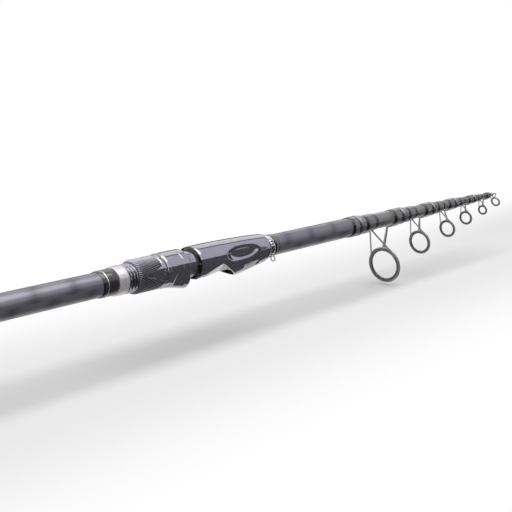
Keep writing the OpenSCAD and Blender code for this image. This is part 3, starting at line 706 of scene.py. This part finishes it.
def shell_outer(x, a):
    r = on_line(x, skin)
    if x < MOUTH_X + 10:
        r = soft_min(r, flat(a, DOWN, PLATFORM if x < SHELL_X + 28 else ROOF), 0.35)
    start = SHELL_X + 6
    depth = (SHELL_R - BORE_R - 0.55) * min(1, (x - start) / (MOUTH_X - 18 - start))
    if depth > 0:
        for facing in (DOWN - math.pi / 4, DOWN + math.pi / 4):
            cut = soft_min(r, flat(a, facing, SHELL_R - depth), 0.25)
            mouth = mouth_at(r * math.sin(a))
            r += (cut - r) * (1 - ramp(x, mouth - 1.2, mouth + 0.2))
    for facing in (SCOOP_TURN, math.pi - SCOOP_TURN):
        arc = SHELL_R * math.remainder(a - facing, 2 * math.pi)
        below = arc / SCOOP_HALF_ARC * (-1 if math.cos(facing) > 0 else 1)
        ahead = (x - SCOOP_X) / SCOOP_HALF_LENGTH
        oval = (abs(ahead) ** SCOOP_SQUARE + abs(below) ** SCOOP_SQUARE) ** (1 / SCOOP_SQUARE)
        if oval < 1:
            centre = SHELL_R - SCOOP_DEPTH - SCOOP_FLOOR_R
            floor_r = min(r, far_side(a, centre * math.cos(facing), centre * math.sin(facing), SCOOP_FLOOR_R))
            r += (floor_r - r) * ramp(oval, 1, 0.68 - 0.2 * ramp(below, -0.2, 0.5))
    return r


body = shell("shell_skin", SHELL_X, SEAT_END, 220, 208, shell_outer, lambda x, a: BORE_R)
body.data.materials.append(plating)
print("shell", len(body.data.polygons), "faces")

# %% [markdown]
# ## Reel seat: fixed hood
# The fixed hood is a slanted lobe below the shell, cut off by a leaning mouth, with a pocket for the tip of the
# reel's foot and a flat panel on each cheek. It is a second sleeve that rises out of the shell and is joined to it.

# %% Fixed hood
LOBE_SLOPE = (-0.3 - LOBE_R + LOBE_DEPTH) / (SEAT_END - 3 - MOUTH_X)


def lobe_z(x):
    return LOBE_R - LOBE_DEPTH + LOBE_SLOPE * (x - MOUTH_X)


def lobe_outer(x, a):
    r = far_side(a, 0, lobe_z(x), LOBE_R)
    panel = ramp(x, MOUTH_X + 1, MOUTH_X + 4) * ramp(MOUTH_X + 21 - x, 0, 4)
    for facing in (DOWN - math.radians(60), DOWN + math.radians(60)):
        r = soft_min(r, flat(a, facing, LOBE_R - lobe_z(x) / 2 + 0.5 - 1.1 * panel), 0.15)
    return max(r, BORE_R + 0.25)


def lobe_inner(x, a):
    r = far_side(a, 0, lobe_z(x + 1), LOBE_R - LOBE_WALL) if x < MOUTH_X + 12 else 0
    return max(r, BORE_R + 0.1)


def lobe_ends(a, r):
    return mouth_at(r * math.sin(a)), SEAT_END - 3


lobe = shell("fixed_hood", MOUTH_X, SEAT_END - 3, 90, 208, lobe_outer, lobe_inner, lobe_ends, 40)
lobe.data.materials.append(plating)
seat = joined([barrel, thread, body, lobe])
dress(seat, plating, "butt", "reel_seat")

# %% [markdown]
# ## Lip ring
# A black ring covers the shell's rear edge. It is turned, and flattened underneath where the reel's foot passes.

# %% Lip ring
LIP_R = SHELL_R - 0.1
LIP_X = SHELL_X - 1.5
lip = eased([
    (LIP_X, LIP_R - 1.4), (SHELL_X - 0.8, LIP_R - 0.1), (SHELL_X - 0.45, LIP_R), (SHELL_X, LIP_R - 0.35)], 0.4)
lip_ring = shell(
    "black_lip_ring", LIP_X, SHELL_X, 16, 160,
    lambda x, a: soft_min(on_line(x, lip), flat(a, DOWN, PLATFORM + 0.9), 0.4), lambda x, a: CREST_R - 0.28)
dress(lip_ring, black_lip, "butt", "lip_ring")

# %% [markdown]
# ## Lock nut
# Slanted ridges give the fingers their grip. The rear edge is bevelled, the front is a smooth collar, and a
# smooth arrow on each side points to the butt. The ridges are one saw-tooth rule on the angle that shifts along X.
# The attribute groove says how deep a point lies, so that the finish can darken the grooves with painted shade.

# %% Lock nut
NUT_R = CREST_R + 1.6
NUT_END = NUT_X + 23
COLLAR_X = NUT_END - 3.8
TEETH = 44
SLANT = math.tan(math.radians(30)) * TEETH / (2 * math.pi * NUT_R)
nut_edge = eased([
    (NUT_X, NUT_R - 1.2), (NUT_X + 0.5, NUT_R - 0.7), (NUT_X + 2, NUT_R), (NUT_END - 0.6, NUT_R + 0.05),
    (NUT_END, NUT_R - 0.5)], 0.4)
ARROW_X, ARROW_LENGTH, ARROW_HALF, ARROW_Z = NUT_END - 18.6, 16.2, 5, 1


def in_arrow(x, a):
    """How far a point lies inside the arrow's outline, in millimetres."""
    return (x - ARROW_X) * ARROW_HALF / ARROW_LENGTH - abs(NUT_R * math.sin(a) - ARROW_Z)


def nut_outer(x, a):
    edge = on_line(x, nut_edge)
    turn = (a / (2 * math.pi) * TEETH - (x - NUT_X) * SLANT) % 1
    ridge = edge - 0.5 * ramp(abs(2 * turn - 1), 0.3, 1)
    arrow = in_arrow(x, a)
    if arrow > 0 and x < ARROW_X + ARROW_LENGTH:
        facing = 0 if math.cos(a) > 0 else math.pi
        smooth = soft_min(edge, flat(a, facing, NUT_R - 0.55), 0.2)
        return ridge + (smooth - ridge) * ramp(arrow, 0, 0.35)
    if x > COLLAR_X:
        groove = 0.25 * (1 - ramp(abs(x - COLLAR_X - 0.3), 0.1, 0.35))
        return ridge + (edge - ridge) * ramp(x, COLLAR_X, COLLAR_X + 0.4) - groove
    return ridge


nut = shell("knurled_lock_nut", NUT_X, NUT_END, 92, 264, nut_outer, lambda x, a: CREST_R + 0.15)
print("nut with", TEETH, "ridges")

# %% Nut finish
depth = nut.data.attributes.new("groove", "FLOAT", "POINT")
for v in nut.data.vertices:
    below = on_line(v.co.x / MM, nut_edge) - math.hypot(v.co.y, v.co.z) / MM
    depth.data[v.index].value = ramp(below, 0.2, 0.42)
tree = nut_plating.node_tree
shader = tree.nodes["Principled BSDF"]
tone = shader.inputs["Base Color"].links[0].from_socket
# Painted shade: deep points, in the grooves between the ridges and along the arrow's edges, darken towards #35343A.
groove = add(tree, "ShaderNodeAttribute", attribute_name="groove")
painted_groove_shade = add(tree, "ShaderNodeMix", {"Factor": groove.outputs["Fac"], "A": tone, "B": colour("#35343A")},
             data_type="RGBA")
tree.links.new(painted_groove_shade.outputs["Result"], shader.inputs["Base Color"])
nut.data.materials.append(nut_plating)
nut.data.materials.append(plating)
for face in nut.data.polygons:
    at = face.center / MM
    face.material_index = int(at.x > COLLAR_X + 0.4 or in_arrow(at.x, math.atan2(at.z, at.y)) > 0.3)
dress(nut, nut_plating, "nut", "lock_nut")

# %% [markdown]
# ## Moving hood
# The nut pushes this sleeve over the rear tip of the reel's foot. Below it swells into a lobe with a pocket that
# opens to the front. A fine seam runs round behind its front rim, and each cheek has a flat.

# %% Moving hood
HOOD_R = CREST_R + 2.1
hood_edge = eased([
    (HOOD_X, HOOD_R - 0.7), (HOOD_X + 0.7, HOOD_R), (HOOD_END - 0.8, HOOD_R), (HOOD_END, HOOD_R - 0.5)], 0.5)
HOOD_LOW = LOBE_R - LOBE_DEPTH


def hood_lobe_z(x):
    t = (x - HOOD_X - 2.4) / (HOOD_END + 4 - HOOD_X - 2.4)
    return HOOD_LOW + 3.6 - 4.4 * t


def hood_outer(x, a):
    seam = 0.14 * (1 - ramp(abs(x - HOOD_END + 6.2), 0.05, 0.3))
    r = on_line(min(x, HOOD_END), hood_edge) - seam
    low = far_side(a, 0, hood_lobe_z(x), LOBE_R)
    r = soft_max(r, r + (low - r) * ramp(x, HOOD_X + 1.6, HOOD_X + 4.5), 0.4)
    cheek = ramp(x, HOOD_X + 5.5, HOOD_X + 8) * ramp(HOOD_END - 3 - x, 0, 1.2)
    cheek_at = LOBE_R - hood_lobe_z(x) / 2 + 0.6 - 1.25 * cheek
    behind = 10.4 + 3.2 * ramp(x, HOOD_X + 2, HOOD_X + 13)
    for side in (-1, 1):
        r = soft_min(r, flat(a, DOWN + side * math.radians(60), cheek_at), 0.15)
        r = soft_min(r, flat(a, DOWN + side * math.radians(36), behind), 0.2)
    return r


def hood_inner(x, a):
    low = HOOD_LOW + 4 - 5 * (x - HOOD_X) / (HOOD_END + 5 - HOOD_X)
    pocket = far_side(a, 0, low, LOBE_R - LOBE_WALL) if x > HOOD_X + 9.5 else 0
    return max(pocket, CREST_R + 0.15)


def hood_ends(a, r):
    z = r * math.sin(a)
    lip_x = HOOD_END + 0.6 - (z + LOBE_DEPTH) * math.tan(math.radians(15))
    return HOOD_X, max(HOOD_END, lip_x) if z < -9 else HOOD_END


hood = shell("moving_hood_sleeve", HOOD_X, HOOD_END, 84, 224, hood_outer, hood_inner, hood_ends, 42)
dress(hood, plating, "hood", "moving_hood")

# %% [markdown]
# ## Chrome ring
# A chrome ring with small cut facets ends the seat. The facets are a ring of 60 corners with every second one
# pulled in, and stay flat-shaded.

# %% Chrome ring
CHROME_END = SEAT_END + 5.9
CHROME_R = tube_r(1, SEAT_END) + 1.25
FACETS = 30
chrome_edge = [
    (SEAT_END, CHROME_R - 0.15), (SEAT_END + 0.8, CHROME_R), (CHROME_END - 2.2, CHROME_R),
    (CHROME_END - 0.4, CHROME_R - 0.6), (CHROME_END, CHROME_R - 0.8)]


def chrome_outer(x, a):
    corner = round(a / math.pi * FACETS)
    return on_line(x, chrome_edge) - (0.22 if corner % 2 else 0)


ring = shell("faceted_chrome_ring", SEAT_END, CHROME_END, 14, 2 * FACETS, chrome_outer,
             lambda x, a: tube_r(1, x) - 0.02)
bpy.ops.object.shade_smooth_by_angle(angle=math.radians(3))
dress(ring, chrome, "butt", "front_ring")

# %% [markdown]
# ## Hook keeper and front winding
# A small wire loop, in which the hook hangs on the way, is bound on just ahead of the chrome ring. Its stem lies
# under a short winding, and the fused joint has the fillet of a braze.

# %% Keeper and its winding
KEEPER_X = CHROME_END + 6
WIRE_R = 0.4
LOOP_R = 2.2
RING_R = LOOP_R - WIRE_R
stem_z = -tube_r(1, CHROME_END) - 0.28
ring_z = -tube_r(1, CHROME_END) - 0.32 - LOOP_R
stem = wire("hook_keeper_wire", [
    (CHROME_END + 0.8, 0, stem_z), (CHROME_END + 3.5, 0, stem_z), (KEEPER_X, 0, stem_z - 0.12)], WIRE_R)
turns = [i * math.pi / 6 for i in range(12)]
loop = [(KEEPER_X, RING_R * math.sin(t), ring_z + RING_R * math.cos(t)) for t in turns]
keeper = fused([stem, wire("keeper_loop", loop, WIRE_R, cyclic=True)], 0.09, 3)
dress(keeper, coated_wire, "butt", "hook_keeper")
dress(wrap("winding_on_keeper", 1, CHROME_END, CHROME_END + 5, 0.7 * WRAP_T, 1.5, 0.5 - tube_r(1, CHROME_END)),
      winding, "butt", "front_winding")

# %% [markdown]
# ## Guides
# Each guide is a ring on two wire legs and one flat brace, with a foot at either end under the thread. The ceramic
# insert is a separate polished ring that is pressed into the frame. All five are the same recipe at smaller sizes.

# %% Ring profiles
def insert_ring(name, r_out, r_in):
    """A ceramic ring: a round inner lip, a flat outside that sits in the frame."""
    w = r_out - r_in
    lip = [(w / 2 * math.cos(t), r_in + w / 2 - w / 2 * math.sin(t)) for t in (i * math.pi / 12 for i in range(13))]
    return turned(name, [(w / 2, r_out)] + lip + [(-w / 2, r_out), (w / 2, r_out)], 128, 40)


def frame_ring(name, r_out, r_in, w):
    c = 0.45 * (r_out - r_in)
    loop = eased([
        (-w / 2, r_in), (-w / 2, r_out - c), (c - w / 2, r_out), (w / 2 - c, r_out), (w / 2, r_out - c),
        (w / 2, r_in)], 0.2)
    return turned(name, loop + [loop[0]], 128)


print("ring profiles ready")

# %% Guide frames and inserts
LEAN = 7
LEG_AT = 0.88  # where the legs stand, as a share of the rear winding
for k in range(2, 7):
    od, width = GUIDE_OD[k], foot_width(k)
    ring_t = 1.1 + 0.078 * od
    frame_t = 0.46 * ring_t
    wire_d = 0.52 + 0.0285 * od
    seat_r = od / 2 - 0.75 * frame_t
    at = Vector((start_x(k) + AHEAD[k], 0, -DROP[k]))
    up = Vector((-math.sin(math.radians(LEAN)), 0, math.cos(math.radians(LEAN))))
    middle = od / 2 - frame_t / 2
    foot = start_x(k) + LEG_AT * REAR[k]
    brace = start_x(k) + REAR[k] + BARE[k] - 1.2
    parts = [tilted(frame_ring(f"guide_frame_wire_{k}", od / 2, seat_r, 1.1 * frame_t), at, LEAN)]
    reach = 0.96 * math.acos(middle / (DROP[k] - tube_r(k, foot)))
    for side in (-1, 1):
        top = Vector((foot, side * (width / 2 - wire_d / 2 + 0.25), -tube_r(k, foot) - 0.5 * FOOT_T))
        end = at + middle * (math.cos(reach) * up + Vector((0, side * math.sin(reach), 0)))
        heel = top - Vector((1.6 * wire_d, 0, -0.1))
        leg = [heel, top] + [top.lerp(end, t) for t in (0.12, 0.5, 0.9)] + [end]
        parts.append(wire(f"leg_{k}", leg, wire_d / 2))
    head = Vector((brace, 0, -tube_r(k, brace) - 0.3 * FOOT_T))
    parts.append(strip(f"brace_{k}", head, at + middle * up, 0.62 * width, 1.1 * width, 0.8 * wire_d))
    rear, front = start_x(k) + 0.12 * REAR[k], brace + 1.2 + 0.7 * FRONT[k]
    for a, b in ((rear, foot + wire_d), (brace - 0.8, front)):
        z0, z1 = -tube_r(k, a) - FOOT_T / 2, -tube_r(k, b) - FOOT_T / 2
        parts.append(strip(f"foot_{k}", (a, 0, z0), (b, 0, z1), width, width, FOOT_T))
    dress(fused(parts, 0.1 + 0.002 * od), coated_wire, body_name(k), f"guide_frame_{k}")
    insert = insert_ring(f"ceramic_guide_ring_{k}", seat_r, od / 2 - ring_t)
    dress(tilted(insert, at, LEAN), ceramic, body_name(k), f"guide_insert_{k}")

# %% [markdown]
# ## Tip-top
# A small tube is glued over the tip. One wire arches forward from it and drops to the top of the ring, and two side
# arms hold the ring from behind, so that the line can't catch.

# %% Tip-top
TIP_START = start_x(7)
TIP_LEAN = 20
TIP_OD, TIP_RING_T = 10, 1.1
tip_at = Vector((TIP_START + 15, 0, -8))
tip_up = Vector((-math.sin(math.radians(TIP_LEAN)), 0, math.cos(math.radians(TIP_LEAN))))
tube_out = tube_r(7, TIP_START) + 0.6
seat_r = (TIP_OD - 1.6 * TIP_RING_T) / 2
ring_r = (TIP_OD - TIP_RING_T) / 2
tube_edge = eased([
    (TIP_START, tube_out - 0.15), (TIP_START + 0.15, tube_out), (TIP_X - 0.4, tube_out),
    (TIP_X, tube_out - 0.4)], 0.15)
tube = sleeve("tip_top_wire", tube_edge, (tube_r(7, TIP_START), tube_r(7, TIP_X)), 64)
cap_x = TIP_X - 0.7
cap = turned("tube_end", [(cap_x, 0), (cap_x, tube_out - 0.3), (TIP_X, tube_out - 0.35), (TIP_X, 0)], 64)
parts = [tube, cap, tilted(frame_ring("tip_ring", TIP_OD / 2, seat_r, 1.1 * TIP_RING_T), tip_at, TIP_LEAN)]
for side in (-1, 1):
    a = Vector((TIP_START + 2.5, side * tube_out * 0.75, -0.6))
    b = tip_at + ring_r * (0.5 * tip_up + Vector((0, side * 0.866, 0)))
    parts.append(wire("tip_arm", [a, a.lerp(b, 0.3), a.lerp(b, 0.7), b], 0.45))
bend = tip_at + Vector((-0.2, 0, 8.1))
top = tip_at + ring_r * tip_up
parts.append(wire("tip_loop", [
    (TIP_X - 1.2, 0, 0.1), (TIP_X + 2.5, 0, 0.12), bend - Vector((1.6, 0, 0.02)),
    bend + Vector((-0.1, 0, -0.7)), bend.lerp(top, 0.55), top], 0.52))
dress(fused(parts, 0.11, 4), coated_wire, "tip_section", "tip_frame")
insert = insert_ring("ceramic_tip_ring", seat_r, seat_r - 1)
dress(tilted(insert, tip_at, TIP_LEAN), ceramic, "tip_section", "tip_insert")

# %% [markdown]
# ## Butt cap
# The cap screws out so that the sections can be cleaned. Shallow grooves round its side give a grip, and its stem
# carries a rubber cushion. The threaded insert, the cushion and the arbors are hidden inside, so their CAD solids
# stay and only get their finish.

# %% Butt cap
CAP_R, CAP_END = 8.5, 11.7
cap_edge = eased([
    (0, CAP_R - 1.4), (0.5, CAP_R - 0.4), (1.6, CAP_R), (CAP_END - 1, CAP_R), (CAP_END, CAP_R - 0.8)], 0.6)


def cap_outer(x, a):
    wave = 0.5 + 0.5 * math.cos(24 * a)
    groove = 0.35 * ramp(wave, 0.55, 0.95) * ramp(x, 2, 3.2) * ramp(10.4 - x, 0, 1.2)
    return on_line(x, cap_edge) - groove


grip = shell("butt_cap_grip", 0, CAP_END, 40, 192, cap_outer, lambda x, a: 4.4)
stem = turned("cap_stem", eased([(0.02, 0), (0.02, 4.6), (22, 4.6), (22, 0)], 0.3), 64)
crests = [(CAP_END + 0.5 * i, 4.98 if i % 2 else 4.5) for i in range(20)]
cap_thread = turned("cap_threads", eased([(11.5, 4.3)] + crests + [(21.5, 4.3), (11.5, 4.3)], 0.1, 2), 64)
dress(joined([grip, stem, cap_thread]), cap_plastic, "cap", "butt_cap")
for name, finish in (("cap_cushion", rubber), ("butt_insert", cap_plastic), ("seat_arbors", arbor)):
    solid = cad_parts[name]
    solid.data.materials.clear()
    solid.data.materials.append(finish)
print("hidden solids finished")

# %% [markdown]
# ## Studio: floor and world
# The picture is a product shot on white. A pale floor under the guides catches a soft shadow and turns to plain
# white a little away from the rod. The world is plain white to the eye and in reflections, but lights the rest at
# a third of that, so that the softbox draws the shadow.

# %% Floor
FLOOR_Z = -0.0555


def only_for(tree, *rays):
    """1 for rays of the named kinds, from Light Path."""
    path = add(tree, "ShaderNodeLightPath")
    total = path.outputs[rays[0]]
    for ray in rays[1:]:
        total = add(tree, "ShaderNodeMath", {0: total, 1: path.outputs[ray]}, operation="MAXIMUM").outputs[0]
    return total


SEEN = ("Is Camera Ray", "Is Glossy Ray", "Is Transmission Ray")
bpy.ops.object.select_all(action="DESELECT")
bpy.ops.mesh.primitive_plane_add(size=12, location=(0.33, 0, FLOOR_Z))
floor = bpy.context.object
floor.name = "studio_floor"
paper = bpy.data.materials.new("white_paper_floor")
paper.use_nodes = True
tree = paper.node_tree
shader = tree.nodes["Principled BSDF"]
shader.inputs["Base Color"].default_value = (0.93, 0.93, 0.93, 1)
shader.inputs["Roughness"].default_value = 0.9
shader.inputs["Specular IOR Level"].default_value = 0.0
white = add(tree, "ShaderNodeEmission", {"Color": (1, 1, 1, 1), "Strength": 1.0})
place = add(tree, "ShaderNodeTexCoord").outputs["Object"]
axes = add(tree, "ShaderNodeSeparateXYZ", {0: place})
fades = []
for axis, near, far in (("X", 0.45, 0.75), ("Y", 0.04, 0.16)):
    away = add(tree, "ShaderNodeMath", {0: axes.outputs[axis]}, operation="ABSOLUTE")
    fades.append(add(tree, "ShaderNodeMapRange", {"Value": away.outputs[0], "From Min": near, "From Max": far},
                     interpolation_type="SMOOTHSTEP").outputs[0])
fade = add(tree, "ShaderNodeMath", {0: fades[0], 1: fades[1]}, operation="MAXIMUM")
share = add(tree, "ShaderNodeMath", {0: fade.outputs[0], 1: only_for(tree, *SEEN)}, operation="MULTIPLY")
blend = add(tree, "ShaderNodeMixShader", {0: share.outputs[0], 1: shader.outputs[0], 2: white.outputs[0]})
tree.links.new(blend.outputs[0], tree.nodes["Material Output"].inputs["Surface"])
floor.data.materials.append(paper)
print("floor at", FLOOR_Z)

# %% World
world = bpy.data.worlds.new("studio_white")
bpy.context.scene.world = world
world.use_nodes = True
tree = world.node_tree
back = tree.nodes["Background"]
strength = add(tree, "ShaderNodeMapRange", {"Value": only_for(tree, *SEEN), "To Min": 0.35, "To Max": 1.0})
tree.links.new(strength.outputs[0], back.inputs["Strength"])
back.inputs["Color"].default_value = (1, 1, 1, 1)
print("world", world.name)

# %% [markdown]
# ## Studio: light
# One large softbox hangs overhead. Glossy metal shows what stands round it, so grey flags, which only reflections
# see, give the plated pieces their dark lower half and the thin dark line along their tops.

# %% Softbox and flags
at, target = Vector((0.35, -0.15, 1.1)), Vector((0.35, 0, 0))
bpy.ops.object.light_add(type="AREA", location=at)
softbox = bpy.context.object
softbox.name = "overhead_softbox"
softbox.data.shape = "RECTANGLE"
softbox.data.size, softbox.data.size_y = 1.6, 1.0
softbox.data.energy = 11
softbox.rotation_euler = (target - at).to_track_quat("-Z", "Y").to_euler()


def flag(name, low, high, shade):
    """A card that only reflections see, flat in the plane where its two corners agree."""
    bpy.ops.object.select_all(action="DESELECT")
    bpy.ops.mesh.primitive_plane_add(size=1)
    card = bpy.context.object
    card.name = name
    (x0, y0, z0), (x1, y1, z1) = low, high
    across = (x1, y0, z0) if x0 != x1 else (x0, y1, z0)
    along = (x0, y1, z0) if z0 == z1 else (x0, y0, z1)
    for v, corner in zip(card.data.vertices, (low, across, along, high)):
        v.co = corner
    grey = bpy.data.materials.new(name + "_grey")
    grey.use_nodes = True
    tree = grey.node_tree
    # The card glows with its own colour, a painted reflection that doesn't depend on the lamps: dark for the flags,
    # pale for the far card.
    glow = add(tree, "ShaderNodeEmission", {"Color": colour(shade), "Strength": 1.0})
    tree.links.new(glow.outputs[0], tree.nodes["Material Output"].inputs["Surface"])
    card.data.materials.append(grey)
    card.visible_camera = card.visible_diffuse = card.visible_shadow = card.visible_transmission = False


z = FLOOR_Z + 0.001
DARK = "#403F43"
for card in (
        ("front_floor_flag", (-0.3, -0.9, z), (1.2, -0.012, z), DARK),
        ("front_flag", (-0.6, -0.9, z), (1.7, -0.9, 0.4), DARK),
        ("back_flag", (-0.6, 1.2, z), (4, 1.2, 0.45), "#2A292C"),
        ("far_floor_flag", (0.42, 0.05, z), (1.9, 1.2, z), DARK),
        ("rear_flag", (-1.5, -1.5, z), (-1.5, 1.5, 0.8), DARK),
        ("far_card", (1.9, -2.5, z), (1.9, 0.4, 3), "#D8D6E2"),
        ("overhead_strip", (0.5, 0.1, 0.6), (2.4, 0.19, 0.6), DARK),
        ("end_card", (1.85, -0.65, z), (1.85, 0.5, 0.4), "#0C0B0D")):
    flag(*card)

# %% [markdown]
# ## Camera
# The photograph looks along the rod from behind and to its right, a little from above, with a long lens.

# %% Camera
eye = Vector((-0.195, -0.4405, 0.1347))
look = Vector((0.7506, 0.6298, -0.2001))
shot = bpy.data.cameras.new("camera")
camera = bpy.data.objects.new("camera", shot)
bpy.context.collection.objects.link(camera)
camera.location = eye
camera.rotation_euler = look.to_track_quat("-Z", "Y").to_euler()
FOCAL, PICTURE = 1000, 512  # the photograph's focal length and side, in pixels
shot.sensor_width = 36
shot.lens = shot.sensor_width * FOCAL / PICTURE
shot.clip_start = 0.01
bpy.context.scene.camera = camera
bpy.context.scene.view_settings.view_transform = "Standard"
